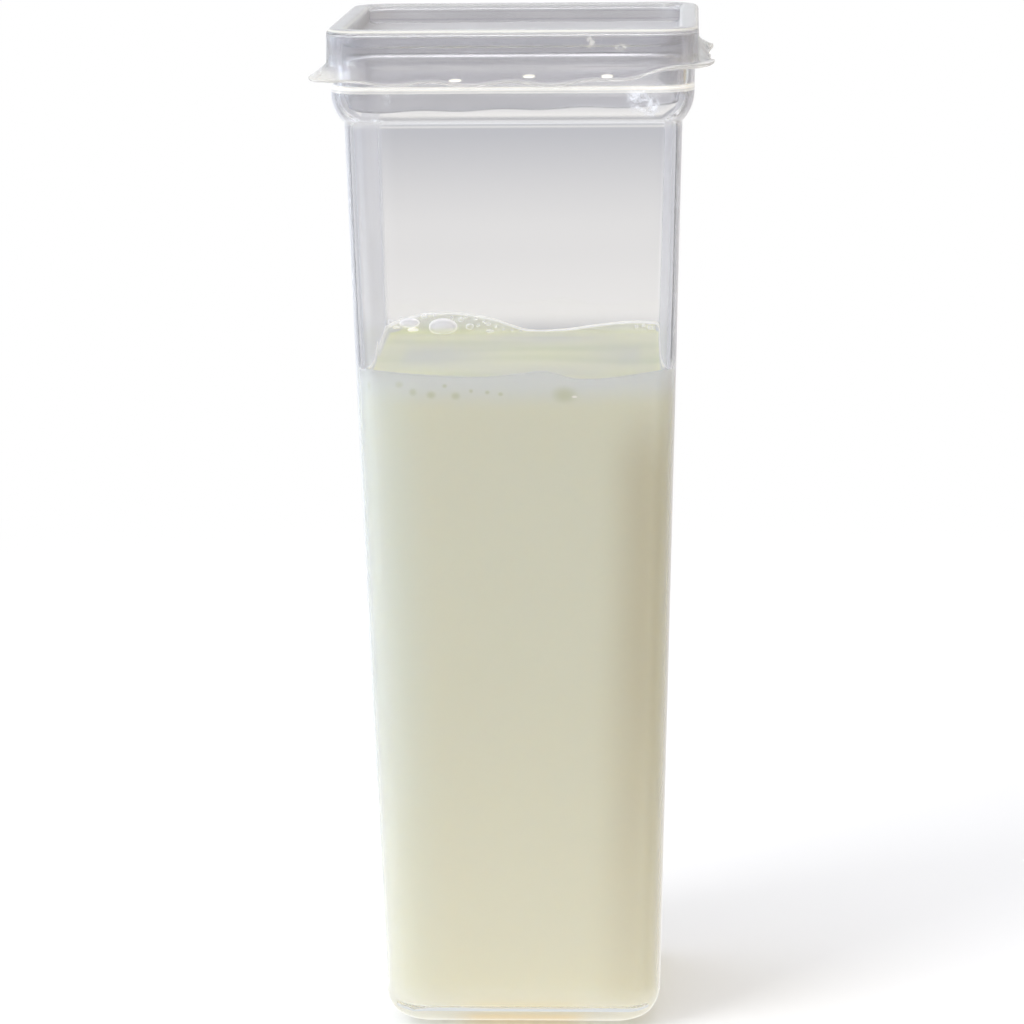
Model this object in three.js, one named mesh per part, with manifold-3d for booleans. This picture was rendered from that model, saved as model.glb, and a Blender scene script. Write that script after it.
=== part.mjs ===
// A tall square jar of clear plastic, two thirds full of milk and shut with a soft press-on lid.
// Millimetres, +Z up. The origin is the middle of the foot, on the surface that the jar stands on,
// and -Y is the front. Every piece is a stack of rounded-square sections joined one to the next.
import * as THREE from "three";
import Module from "manifold-3d";
import { mergeVertices } from "three/addons/utils/BufferGeometryUtils.js";

const wasm = await Module();
wasm.setup();

// The jar: half-widths of its square section, and heights above the table
const wallThickness = 2.4;
const baseHalf = 40.27; // the tapered side, carried down to the table
const shoulderHalf = 47.5;
const shoulderHeight = 268.6; // where the side turns out into the collar
const collarHalf = 51;
const collarArcRadius = 12;
const collarEdge = 0.4; // the small bevel of the collar's top edge
const ledgeHeight = 279; // the top of the collar, just under the lid's lip
const rimHalf = 50.3;
const rimThickness = 2.1;
const mouthHeight = 293.3;
const heelRadius = 12.4; // the round edge between side and foot
const floorHeight = 7;
const floorFilletRadius = 7;
const footRecessHalf = 24;
const footRecessDepth = 3;

// The upright corners: how far their centres stand from the axis, at the heel and at the shoulder
const heelCornerCentre = 32;
const mouthCornerCentre = 40.5;
const leastCornerShare = 0.16; // of the half-width, where a section is drawn in under the jar

// The lid: a hollow rim that straddles the mouth, a sunk panel and a skirt that ends in a wavy lip
const lidHalf = 52.1;
const lidTop = 295;
const lidEdgeRadius = 1.4;
const ceilingHeight = 293.6; // inside the hollow rim
const skirtThickness = 1.1;
const skirtEnd = 284.6;
const lipThickness = 0.9;
const lipReach = 3.1; // beyond the skirt, along a side
const lipCornerReach = 6.4; // the same at the four pull tabs
const lipHeight = 280;
const lipWaveHeight = 0.6;
const lipWaveReach = 0.25; // how much further out the lip stands where a wave lifts it
const lipWaveLength = 22.5;
const recessHalf = 46.6;
const panelHeight = 289.6;
const panelThickness = 1.4;
const panelFillet = 1.5; // where the recess's wall meets the panel
const plugHalf = 47.8; // the inner seal, which hangs inside the jar's mouth
const plugEndHalf = 46.3; // it leans in towards its lower edge
const plugThickness = 1.2;
const plugEnd = 272.6;
const plugTilt = 0.014; // its lower edge is uneven: higher on the right and at the back
const plugBackRise = 1.5;
const plugWaveHeight = 0.7;
const plugWaveStart = -3;
// How far each corner tab is bent up, and how far the bend carries along the front and the side
const tabs = [
  { x: 1, y: -1, lift: 5.3, spreadX: 18, spreadY: 40 },
  { x: -1, y: -1, lift: 1.3, spreadX: 12, spreadY: 40 },
  { x: 1, y: 1, lift: 1.8, spreadX: 13, spreadY: 16 },
  { x: -1, y: 1, lift: 1.2, spreadX: 12, spreadY: 14 },
];

// The milk
const milkGap = 0.3; // between the milk and the jar
const milkLevel = 195.6;
const filmThickness = 0.7; // of the milk that clings to the wall over the level
const leastFilmHeight = 0.1;
const filmMargin = 8; // the milk's plain side ends this far under the level
const filmFoot = 3.2; // how far from the wall the film runs out into the level surface
const swellHeight = 0.25; // of the open surface
// How high the film stands over the level, at even steps along each wall
const filmHeights = {
  back: [2.8, 5.7, 5.9, 4.0, 0.5, 0.7, 2.1, 3.2, 2.6], // left to right
  front: [3.0, 2.1, 1.4, 0.9, 0.8, 1.5, 2.3, 0.2, 0.3, 1.4, 2.6],
  left: [3.0, 1.2, 0.6, 1.4, 2.8], // front to back
  right: [2.6, 1.8, 1.2, 1.4, 2.6],
};
// Air bubbles that touch the wall: place along the wall, height over the level, half the width, and
// half the height as a share of that
const backBubbles = [
  { along: -25.9, over: 1.2, radius: 4.7, flatness: 0.58 },
  { along: -36.1, over: 2.9, radius: 3.6, flatness: 0.5 },
  { along: -12.4, over: 0.7, radius: 1.9, flatness: 0.8 },
];
const frontBubble = { along: 14.1, over: -4.1, radius: 2.4, flatness: 0.85 };

const straightShare = 0.8; // of a quarter's way round, the rest being its corner
const cornerSteps = 6;
const sideSteps = 18; // along a wavy side
const arcSteps = 6;

const mix = (a, b, t) => a + (b - a) * t;
const sideHalf = (z) => mix(baseHalf, shoulderHalf, z / shoulderHeight);
const cornerCentre = (z) => {
  const share = (z - heelRadius) / (shoulderHeight - heelRadius);
  return mix(heelCornerCentre, mouthCornerCentre, THREE.MathUtils.clamp(share, 0, 1));
};

// One rounded-square section, counter-clockwise from the front end of the right-hand side. Each
// point keeps t, its share of the way round, so that sections with more points can join ones with
// fewer.
function section(half, z, { steps = 1, bend = null } = {}) {
  const radius = Math.max(half - cornerCentre(z), leastCornerShare * half);
  const straight = half - radius;
  const points = [];
  for (let side = 0; side < 4; side++) {
    const turn = (side * Math.PI) / 2;
    const add = (x, y, t) => {
      const point = new THREE.Vector3(x, y, z).applyAxisAngle(new THREE.Vector3(0, 0, 1), turn);
      point.z = z;
      if (bend) bend(point, half);
      points.push({ point, t: (side + t) / 4 });
    };
    for (let k = 0; k < steps; k++) {
      add(half, mix(-straight, straight, k / steps), (straightShare * k) / steps);
    }
    for (let k = 0; k < cornerSteps; k++) {
      const angle = (k / cornerSteps) * (Math.PI / 2);
      const t = mix(straightShare, 1, k / cornerSteps);
      add(straight + radius * Math.cos(angle), straight + radius * Math.sin(angle), t);
    }
  }
  return points;
}

// Joins the sections in order, and closes the first and the last at the axis
function loft(sections, firstHeight, lastHeight) {
  const positions = [];
  const rings = sections.map((ring) =>
    ring.map(({ point, t }) => ({ index: positions.push(point) - 1, t })),
  );
  const faces = [];
  const first = positions.push(new THREE.Vector3(0, 0, firstHeight)) - 1;
  const last = positions.push(new THREE.Vector3(0, 0, lastHeight)) - 1;
  const start = rings[0];
  const end = rings[rings.length - 1];
  start.forEach((p, i) => faces.push([first, start[(i + 1) % start.length].index, p.index]));
  end.forEach((p, i) => faces.push([last, p.index, end[(i + 1) % end.length].index]));
  for (let r = 0; r + 1 < rings.length; r++) {
    const lower = rings[r];
    const upper = rings[r + 1];
    const at = (ring, i) => ring[i % ring.length].index;
    const share = (ring, i) => (i < ring.length ? ring[i].t : 1 + ring[i - ring.length].t);
    for (let i = 0, j = 0; i < lower.length || j < upper.length; ) {
      const stepLower =
        j >= upper.length || (i < lower.length && share(lower, i + 1) <= share(upper, j + 1) + 1e-9);
      if (stepLower) {
        faces.push([at(lower, i), at(lower, i + 1), at(upper, j)]);
        i++;
      } else {
        faces.push([at(lower, i), at(upper, j + 1), at(upper, j)]);
        j++;
      }
    }
  }
  const geometry = new THREE.BufferGeometry().setFromPoints(positions);
  geometry.setIndex(faces.flat());
  return geometry;
}

// Points of an arc in the plane of half-width and height, from one angle to another in degrees
function arc(centreHalf, centreHeight, radius, from, to, steps = arcSteps) {
  return Array.from({ length: steps + 1 }, (_, k) => {
    const angle = THREE.MathUtils.degToRad(mix(from, to, k / steps));
    return [centreHalf + radius * Math.cos(angle), centreHeight + radius * Math.sin(angle)];
  });
}

// The inside of the jar from its floor up to the shoulder, drawn in by a gap
function insideProfile(gap, top) {
  const half = (z) => sideHalf(z) - wallThickness - gap;
  const fillet = floorFilletRadius - gap;
  const floor = floorHeight + gap;
  const filletHalf = half(floor + fillet) - fillet;
  return [...arc(filletHalf, floor + fillet, fillet, -90, 0), [half(top), top]];
}

function jarGeometry() {
  const heelHalf = sideHalf(heelRadius) - heelRadius;
  const arcCentre = collarHalf - collarArcRadius;
  const arcDrop = Math.sqrt(collarArcRadius ** 2 - (shoulderHalf - arcCentre) ** 2);
  const arcHeight = shoulderHeight + arcDrop;
  const innerRadius = collarArcRadius - wallThickness;
  const innerShoulder = shoulderHalf - wallThickness;
  const outerAngle = THREE.MathUtils.radToDeg(Math.asin(arcDrop / collarArcRadius));
  const innerAngle = THREE.MathUtils.radToDeg(Math.acos((innerShoulder - arcCentre) / innerRadius));
  const rimRound = rimThickness / 2;
  const profile = [
    [footRecessHalf - footRecessDepth, footRecessDepth],
    [footRecessHalf, 0],
    ...arc(heelHalf, heelRadius, heelRadius, -90, 0, 8),
    ...arc(arcCentre, arcHeight, collarArcRadius, -outerAngle, 0),
    [collarHalf, ledgeHeight - collarEdge],
    [collarHalf - collarEdge, ledgeHeight],
    [rimHalf, ledgeHeight],
    ...arc(rimHalf - rimRound, mouthHeight - rimRound, rimRound, 0, 180, 4),
    ...arc(arcCentre, arcHeight, innerRadius, 0, -innerAngle),
    ...insideProfile(0, shoulderHeight - 1).reverse(),
  ];
  const sections = profile.map(([half, z]) => section(half, z));
  return loft(sections, footRecessDepth, floorHeight);
}

// How much a point of the lip belongs to a corner tab: 0 along a side, 1 at the corner
function tabShare(point, half) {
  const towardCorner = Math.min(Math.abs(point.x), Math.abs(point.y)) / half;
  return THREE.MathUtils.smoothstep(towardCorner, 0.72, 0.97);
}

// Moves a point of the lip out and up, by its share of the way from the skirt to the lip's edge
function bendLip(share) {
  return (point, half) => {
    const tab = tabShare(point, half);
    const onSide = Math.abs(point.x) > Math.abs(point.y);
    const along = onSide ? point.y : point.x;
    const wave = Math.cos((along / lipWaveLength) * 2 * Math.PI) * (1 - tab);
    const reach = mix(lipReach, lipCornerReach, tab) + lipWaveReach * wave;
    let rise = lipWaveHeight * wave;
    for (const { x, y, lift, spreadX, spreadY } of tabs) {
      const awayX = (point.x - x * half) / spreadX;
      const awayY = (point.y - y * half) / spreadY;
      rise += lift * Math.exp(-(awayX ** 2 + awayY ** 2));
    }
    const outX = THREE.MathUtils.clamp(point.x / (half * 0.9), -1, 1);
    const outY = THREE.MathUtils.clamp(point.y / (half * 0.9), -1, 1);
    point.x += (onSide ? Math.sign(point.x) : outX * tab) * reach * share;
    point.y += (onSide ? outY * tab : Math.sign(point.y)) * reach * share;
    point.z += rise * share;
  };
}

// The uneven lower edge of the soft inner seal
function bendPlug(point, half) {
  const back = (point.y / half + 1) / 2;
  const wave = Math.cos(((point.x - plugWaveStart) / lipWaveLength) * 2 * Math.PI);
  point.z += plugTilt * point.x + plugBackRise * back + plugWaveHeight * mix(0.3, 1, back) * wave;
}

function lidGeometry() {
  const skirtInner = lidHalf - skirtThickness;
  const panelUnder = panelHeight - panelThickness;
  const plugInner = plugHalf - plugThickness;
  const plugEndInner = plugEndHalf - plugThickness;
  const edge = lidEdgeRadius;
  const plain = ([half, z]) => section(half, z);
  const wavy = ([half, z, share]) => section(half, z, { steps: sideSteps, bend: bendLip(share) });
  const seal = ([half, z]) => section(half, z, { steps: sideSteps, bend: bendPlug });
  const underside = [
    [plugInner - 1.8, panelUnder],
    [plugInner - 0.5, panelUnder - 0.4],
    [plugInner, panelUnder - 1.6],
  ];
  const sealEnd = [
    [plugEndInner, plugEnd + 0.5],
    [plugEndInner + 0.3, plugEnd],
    [plugEndHalf - 0.3, plugEnd],
    [plugEndHalf, plugEnd + 0.5],
  ];
  const hollowRim = [
    [plugHalf, ledgeHeight],
    [plugHalf, ceilingHeight - 0.7],
    [plugHalf + 0.4, ceilingHeight],
    [skirtInner - 0.4, ceilingHeight],
    [skirtInner, ceilingHeight - 0.7],
    [skirtInner + 0.2, skirtEnd],
  ];
  // the lip's underside, its round edge and its top, each with its share of the lip's bend
  const lip = [
    [skirtInner + 0.4, mix(skirtEnd, lipHeight, 0.35), 0.25],
    [lidHalf, mix(skirtEnd, lipHeight, 0.8), 0.65],
    [lidHalf, lipHeight, 0.95],
    [lidHalf + 0.25, lipHeight + 0.2, 1],
    [lidHalf + 0.25, lipHeight + lipThickness - 0.2, 1],
    [lidHalf + 0.1, lipHeight + lipThickness, 0.93],
    [lidHalf + 0.4, mix(skirtEnd, lipHeight, 0.5), 0.6],
    [lidHalf + 0.4, mix(skirtEnd, lipHeight, 0.1), 0.2],
  ];
  const outside = [
    [lidHalf + 0.15, skirtEnd + 0.9],
    ...arc(lidHalf - edge, lidTop - edge, edge, 0, 90, 4),
    ...arc(recessHalf + edge, lidTop - edge, edge, 90, 180, 4),
    ...arc(recessHalf - panelFillet, panelHeight + panelFillet, panelFillet, 0, -90, 3),
  ];
  const sections = [
    ...underside.map(plain),
    ...sealEnd.map(seal),
    ...hollowRim.map(plain),
    ...lip.map(wavy),
    ...outside.map(plain),
  ];
  return loft(sections, panelUnder, panelHeight);
}

// The film's height over the level at a point of the wall, smooth along each wall
const filmSpline = (heights) =>
  new THREE.SplineCurve(heights.map((height, k) => new THREE.Vector2(k / (heights.length - 1), height)));
const filmSplines = Object.fromEntries(
  Object.entries(filmHeights).map(([wall, heights]) => [wall, filmSpline(heights)]),
);
function filmHeight(point, half) {
  const across = (point.x / half + 1) / 2;
  const deep = (point.y / half + 1) / 2;
  const onSide = Math.abs(point.x) > Math.abs(point.y);
  const sideWall = point.x > 0 ? "right" : "left";
  const endWall = point.y > 0 ? "back" : "front";
  const [wall, share] = onSide ? [sideWall, deep] : [endWall, across];
  return filmSplines[wall].getPoint(THREE.MathUtils.clamp(share, 0, 1)).y;
}

function milkGeometry() {
  const wallHalf = (z) => sideHalf(z) - wallThickness - milkGap;
  const levelHalf = wallHalf(milkLevel);
  // a section of the surface near the wall: inset from the wall, and the film's share there
  const surface = (inset, share) => {
    const half = levelHalf - inset;
    return section(half, milkLevel, {
      steps: sideSteps,
      bend: (point) => {
        const rise = Math.max(filmHeight(point, half), leastFilmHeight) * share;
        const grow = (wallHalf(milkLevel + rise) - levelHalf) / half;
        point.x *= 1 + grow;
        point.y *= 1 + grow;
        point.z += rise;
      },
    });
  };
  // the open surface, with the slow swell of milk that was just set down
  const swell = (inset) =>
    section(levelHalf - inset, milkLevel, {
      steps: 6,
      bend: (point) => {
        point.z += swellHeight * Math.sin(point.x / 11 + 1) * Math.cos(point.y / 14);
      },
    });
  const sections = [
    ...insideProfile(milkGap, milkLevel - filmMargin).map(([half, z]) => section(half, z)),
    surface(0, 0.9),
    surface(0.12, 1),
    surface(filmThickness * 0.6, 0.97),
    surface(filmThickness, 0.72),
    surface(filmThickness + 0.5, 0.36),
    surface(filmThickness + 1.2, 0.12),
    surface(filmFoot, 0.02),
    ...[8, 16, 26, 36].map(swell),
  ];
  return loft(sections, floorHeight + milkGap, milkLevel + swellHeight);
}

function solidOf(geometry) {
  const plain = geometry.clone();
  plain.deleteAttribute("normal");
  plain.deleteAttribute("uv");
  const merged = mergeVertices(plain, 1e-4);
  return new wasm.Manifold(
    new wasm.Mesh({
      numProp: 3,
      vertProperties: merged.attributes.position.array,
      triVerts: new Uint32Array(merged.index.array),
    }),
  );
}

function geometryOf(solid) {
  const mesh = solid.getMesh();
  const geometry = new THREE.BufferGeometry();
  geometry.setAttribute("position", new THREE.BufferAttribute(new Float32Array(mesh.vertProperties), 3));
  geometry.setIndex(new THREE.BufferAttribute(new Uint32Array(mesh.triVerts), 1));
  return geometry;
}

// Cuts the pockets of the large bubbles that lie against the jar's wall
function withBubbles(milk) {
  const wallAt = (z) => sideHalf(z) - wallThickness - milkGap;
  const bubbles = [
    ...backBubbles.map((bubble) => ({ ...bubble, wall: 1 })),
    { ...frontBubble, wall: -1 },
  ];
  return bubbles.reduce((solid, { along, over, radius, flatness, wall }) => {
    const height = milkLevel + over;
    const ball = new THREE.SphereGeometry(radius, 14, 9);
    ball.scale(1, flatness, flatness);
    ball.translate(along, wall * wallAt(height), height);
    return solid.subtract(solidOf(ball));
  }, solidOf(milk));
}

const clearPlastic = new THREE.MeshStandardMaterial({
  color: 0xe9ecef,
  roughness: 0.05,
  metalness: 0,
  transparent: true,
  opacity: 0.3,
});
const softPlastic = new THREE.MeshStandardMaterial({
  color: 0xe8e8e2,
  roughness: 0.18,
  metalness: 0,
  transparent: true,
  opacity: 0.45,
});
const milkWhite = new THREE.MeshStandardMaterial({ color: 0xe4e4cb, roughness: 0.3, metalness: 0 });

function piece(name, geometry, material) {
  geometry.computeVertexNormals();
  const mesh = new THREE.Mesh(geometry, material);
  mesh.name = name;
  return mesh;
}

const squareJar = new THREE.Group();
squareJar.name = "square_jar";
squareJar.add(piece("jar", jarGeometry(), clearPlastic));
squareJar.add(piece("lid", lidGeometry(), softPlastic));
squareJar.add(piece("milk", geometryOf(withBubbles(milkGeometry())), milkWhite));

export default squareJar;
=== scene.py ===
# A tall square jar of clear plastic with a soft press-on lid, two thirds full of milk
import math
import random
import bmesh
import bpy
from mathutils import Matrix, Vector


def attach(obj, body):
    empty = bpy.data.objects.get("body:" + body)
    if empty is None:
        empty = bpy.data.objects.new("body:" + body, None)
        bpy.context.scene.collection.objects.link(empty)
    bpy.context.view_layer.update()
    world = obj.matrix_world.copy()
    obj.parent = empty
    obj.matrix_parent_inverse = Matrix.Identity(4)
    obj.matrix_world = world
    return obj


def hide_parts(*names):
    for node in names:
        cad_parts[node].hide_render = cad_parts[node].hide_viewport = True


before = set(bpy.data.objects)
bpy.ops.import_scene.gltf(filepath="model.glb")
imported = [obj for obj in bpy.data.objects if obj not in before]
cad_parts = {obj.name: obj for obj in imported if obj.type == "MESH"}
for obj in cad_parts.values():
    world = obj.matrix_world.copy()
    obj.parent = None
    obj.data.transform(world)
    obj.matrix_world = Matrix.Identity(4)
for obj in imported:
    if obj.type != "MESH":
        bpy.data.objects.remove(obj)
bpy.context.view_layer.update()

mm = 0.001

# what the pieces share: the tapered side and its upright corners, in millimetres
body = {
    "wall": 2.4,
    "baseHalf": 40.27,
    "shoulderHalf": 47.5,
    "shoulderHeight": 268.6,
    "heelRadius": 12.4,
    "heelCornerCentre": 32.0,
    "mouthCornerCentre": 40.5,
    "leastCornerShare": 0.16,
    "innerCorner": 4.6,
}


def blend(low, high, share):
    return low + (high - low) * share


def smooth(low, high, value):
    share = min(max((value - low) / (high - low), 0.0), 1.0)
    return share * share * (3 - 2 * share)


def sideHalf(height):
    return blend(body["baseHalf"], body["shoulderHalf"], height / body["shoulderHeight"])


def cornerCentre(height):
    rise = (height - body["heelRadius"]) / (body["shoulderHeight"] - body["heelRadius"])
    return blend(body["heelCornerCentre"], body["mouthCornerCentre"], min(max(rise, 0.0), 1.0))


# camera: where the photo was taken from, fitted to the jar's outline
camera = {"place": (52.12, -1127.17, 381.39), "yaw": 2.818, "down": 11.679, "roll": -0.591, "lens": 136.2}


def makeCamera():
    data = bpy.data.cameras.new("camera")
    data.sensor_width = 36.0
    data.lens = camera["lens"]
    data.clip_end = 60.0
    held = bpy.data.objects.new("camera", data)
    turn = Matrix.Rotation(math.radians(camera["yaw"]), 4, "Z")
    turn = turn @ Matrix.Rotation(math.radians(90 - camera["down"]), 4, "X")
    turn = turn @ Matrix.Rotation(math.radians(camera["roll"]), 4, "Z")
    held.matrix_world = Matrix.Translation(Vector(camera["place"]) * mm) @ turn
    bpy.context.collection.objects.link(held)
    bpy.context.scene.camera = held


makeCamera()
print("camera placed")


# shader maths: a socket that takes part in Python expressions
class Wire:
    def __init__(self, tree, socket=None):
        self.tree = tree
        self.socket = socket

    def node(self, kind, settings=None, values=None, out=0):
        made = self.tree.nodes.new(kind)
        for name, value in (settings or {}).items():
            setattr(made, name, value)
        for name, value in (values or {}).items():
            if isinstance(value, Wire):
                self.tree.links.new(value.socket, made.inputs[name])
            else:
                made.inputs[name].default_value = value
        return Wire(self.tree, made.outputs[out] if made.outputs else None)

    def maths(self, operation, *terms):
        return self.node("ShaderNodeMath", {"operation": operation}, dict(enumerate(terms)))

    def __add__(self, other):
        return self.maths("ADD", self, other)

    def __radd__(self, other):
        return self.maths("ADD", other, self)

    def __sub__(self, other):
        return self.maths("SUBTRACT", self, other)

    def __rsub__(self, other):
        return self.maths("SUBTRACT", other, self)

    def __mul__(self, other):
        return self.maths("MULTIPLY", self, other)

    def __rmul__(self, other):
        return self.maths("MULTIPLY", other, self)

    def absolute(self):
        return self.maths("ABSOLUTE", self)

    def ramp(self, low, high):
        # 0 at low, 1 at high and a smooth rise between them
        settings = {"interpolation_type": "SMOOTHSTEP"}
        return self.node("ShaderNodeMapRange", settings, {"Value": self, "From Min": low, "From Max": high})

    def mixed(self, first, second):
        # the Mix node's two colours are its inputs 6 and 7, and what they make is its output 2
        values = {"Factor": self, 6: first, 7: second}
        return self.node("ShaderNodeMix", {"data_type": "RGBA"}, values, out=2)

    def split(self):
        # a place as three numbers: along x, y and z
        parts = self.node("ShaderNodeSeparateXYZ", None, {"Vector": self})
        return [Wire(self.tree, part) for part in parts.socket.node.outputs]


def startMaterial(name):
    material = bpy.data.materials.new(name)
    material.use_nodes = True
    material.node_tree.nodes.clear()
    wire = Wire(material.node_tree)
    return material, wire, wire.node("ShaderNodeTexCoord", out="Object")


def finishMaterial(wire, shader):
    wire.node("ShaderNodeOutputMaterial", None, {"Surface": shader})


def colour(red, green, blue):
    # screen values from 0 to 255 as linear light
    def linear(value):
        value /= 255
        return value / 12.92 if value <= 0.04045 else ((value + 0.055) / 1.055) ** 2.4
    return (linear(red), linear(green), linear(blue), 1.0)


def noiseAt(wire, place, scale, detail=2.0, stretch=(1, 1, 1)):
    moved = wire.node("ShaderNodeMapping", None, {"Vector": place, "Scale": stretch})
    return wire.node("ShaderNodeTexNoise", None, {"Vector": moved, "Scale": scale, "Detail": detail})


def paintedHighlight(wire):
    # how much painted highlight a point has: on the plastic's edges and on the bead along the film's top
    return wire.node("ShaderNodeAttribute", {"attribute_name": "highlight"}, out="Fac")


def mixShaders(wire, share, first, second):
    return wire.node("ShaderNodeMixShader", None, {"Fac": share, 1: first, 2: second})


def frosted(wire, shader, share, tone, glow=0.0):
    # a share of cloudy plastic; its glow makes up for light that is lost inside the walls
    through = 0.35  # how much of the scattered light goes on through
    dull = wire.node("ShaderNodeBsdfDiffuse", None, {"Color": colour(*tone)})
    thin = wire.node("ShaderNodeBsdfTranslucent", None, {"Color": colour(*tone)})
    cloudy = mixShaders(wire, through, dull, thin)
    if glow:
        light = wire.node("ShaderNodeEmission", None, {"Color": colour(*tone), "Strength": glow})
        cloudy = wire.node("ShaderNodeAddShader", None, {0: cloudy, 1: light})
    return mixShaders(wire, share, shader, cloudy)


def grazing(wire, low, high=1.0):
    # how nearly a surface is seen along itself
    return wire.node("ShaderNodeLayerWeight", None, {"Blend": 0.5}, out="Facing").ramp(low, high)


def nearSpot(wire, place, x, z, halfWidth, halfHeight, soft=0.35):
    # 1 inside an upright ellipse, 0 outside it
    settings = {
        "Vector": place,
        "Location": (-x / halfWidth, 0, -z / halfHeight),
        "Scale": (1 / (halfWidth * mm), 0, 1 / (halfHeight * mm)),
    }
    moved = wire.node("ShaderNodeMapping", None, settings)
    away = wire.node("ShaderNodeVectorMath", {"operation": "LENGTH"}, {"Vector": moved}, out="Value")
    return away.ramp(1 + soft, 1 - soft)


def anySpot(wire, place, spots, soft):
    found = nearSpot(wire, place, *spots[0], soft)
    for spot in spots[1:]:
        found = found.maths("MAXIMUM", found, nearSpot(wire, place, *spot, soft))
    return found


smudgesAndGlints = {"scale": 520.0, "detail": 4.0, "ragged": (0.4, 0.62), "soft": 0.4}


def smudged(wire, place, spots, front):
    # cloudy patches with ragged edges at the listed spots, kept to the front; some of the spots are painted
    # highlights
    ragged = noiseAt(wire, place, smudgesAndGlints["scale"], smudgesAndGlints["detail"]).ramp(*smudgesAndGlints["ragged"])
    return anySpot(wire, place, spots, smudgesAndGlints["soft"]) * ragged * place.split()[1].ramp(*front)


clearLook = {
    "tint": (250, 250, 252),
    "ior": 1.48,
    "smoothness": 0.012,
    "wearScale": 34.0,
    "wearDetail": 4.0,
    "wear": (0.5, 0.78),
    "haze": 0.035,  # how much rougher the wear makes it
    "collar": (0.2655, 0.27),
    "collarHaze": 0.07,  # how much rougher the collar is
    "flowScale": 9.0,
    "flowDetail": 1.0,
    "flowStretch": (1, 1, 0.35),
    "ripple": 0.012,
    "rippleDepth": 0.02,
    # edge, edgeShare, edgeGlow: the painted highlights along the plastic's edges; the same glow goes into
    # the smudges
    "edge": (255, 253, 246),
    "edgeShare": 0.9,
    "edgeGlow": 0.32,
    # rim: a painted pale sheen where the walls are seen edge-on
    "rim": (226, 226, 230),
    "rimFrom": 0.25,
    "rimFoot": (0.002, 0.02),
    "rimGlow": 0.25,
    "rimShare": 0.75,
    "warmBase": (255, 232, 192),  # the foot's middle looks warmer than its corners
    "warmAcross": (0.022, 0.012),
    "warmUp": (0.0055, 0.003),
    # whitish smudges; the last spot, on the collar's lower round, is a painted highlight
    "smudgesAndGlints": [(35.6, 275.6, 3.2, 3.6), (39.0, 273.6, 2.2, 2.6), (-34.4, 275.6, 0.9, 1.3),
                (-37.6, 269.6, 1.6, 0.5)],
    "smudge": (244, 246, 252),
    "smudgeShare": 0.6,
    "smudgeFront": (-0.044, -0.047),
}


def clearPlastic():
    # hard clear plastic: a trace of moulding ripple, and fine wear that dulls the shine in places
    material, wire, place = startMaterial("clearPlastic")
    side, _, height = place.split()
    wear = noiseAt(wire, place, clearLook["wearScale"], clearLook["wearDetail"]).ramp(*clearLook["wear"])
    flow = noiseAt(wire, place, clearLook["flowScale"], clearLook["flowDetail"], clearLook["flowStretch"])
    bump = wire.node("ShaderNodeBump", None, {
        "Height": flow,
        "Strength": clearLook["ripple"],
        "Distance": clearLook["rippleDepth"],
    })
    warm = side.absolute().ramp(*clearLook["warmAcross"]) * height.ramp(*clearLook["warmUp"])
    collar = height.ramp(*clearLook["collar"])
    shader = wire.node("ShaderNodeBsdfPrincipled", None, {
        "Base Color": warm.mixed(colour(*clearLook["tint"]), colour(*clearLook["warmBase"])),
        "Roughness": wear * clearLook["haze"] + collar * clearLook["collarHaze"] + clearLook["smoothness"],
        "IOR": clearLook["ior"],
        "Transmission Weight": 1.0,
        "Normal": bump,
    })
    # a painted pale sheen, with a glow, where the walls are seen edge-on
    haze = grazing(wire, clearLook["rimFrom"]) * height.ramp(*clearLook["rimFoot"]) * clearLook["rimShare"]
    shader = frosted(wire, shader, haze, clearLook["rim"], clearLook["rimGlow"])
    smudge = smudged(wire, place, clearLook["smudgesAndGlints"], clearLook["smudgeFront"]) * clearLook["smudgeShare"]
    shader = frosted(wire, shader, smudge, clearLook["smudge"], clearLook["edgeGlow"])
    # painted highlights along the ledge, the crease under the collar and the rim
    edge = paintedHighlight(wire) * clearLook["edgeShare"]
    finishMaterial(wire, frosted(wire, shader, edge, clearLook["edge"], clearLook["edgeGlow"]))
    return material


softLook = {
    "tint": (249, 248, 249),
    "topTint": (240, 239, 241),
    "top": (0.2878, 0.2902),
    "ior": 1.4,
    "smoothness": 0.14,
    "haze": 0.12,
    "ripple": 0.012,
    "rippleDepth": 0.002,
    "rippleScale": 30.0,
    "cloud": (228, 227, 229),
    "cloudScale": 28.0,
    "cloudDetail": 4.0,
    "cloudStretch": (0.6, 1.0, 1.4),
    "cloudRange": (0.38, 0.68),
    "cloudShare": 0.12,
    "cloudSwing": 1.3,
    "cloudLeast": 0.35,
    "clearTop": 0.5,  # how much less cloudy the panel and the rim's top are
    # edge: the painted highlights on the rim and the lip, and the tone of the smudges and glints
    "edge": (250, 247, 238),
    "edgeShare": 0.6,
    "edgeGlow": 0.2,
    # rim: a painted pale sheen where the lid is seen edge-on
    "rim": (236, 236, 238),
    "rimFrom": 0.72,
    "rimShare": 0.45,
    "smudgesAndGlints": [(22.2, 291.6, 1.3, 1.6), (30.6, 290.2, 1.6, 1.2)],
    "smudgeShare": 0.35,
    "smudgeFront": (-0.049, -0.051),
    "glints": [(-15.2, 281.3, 1.7, 0.32), (5.2, 282.3, 1.7, 0.32), (26.9, 282.2, 1.6, 0.32)],
    "glintSoft": 0.3,
    "glintShare": 0.9,
    "glintFront": (-0.0515, -0.0522),
    "glintGlow": 0.35,
}


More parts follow.
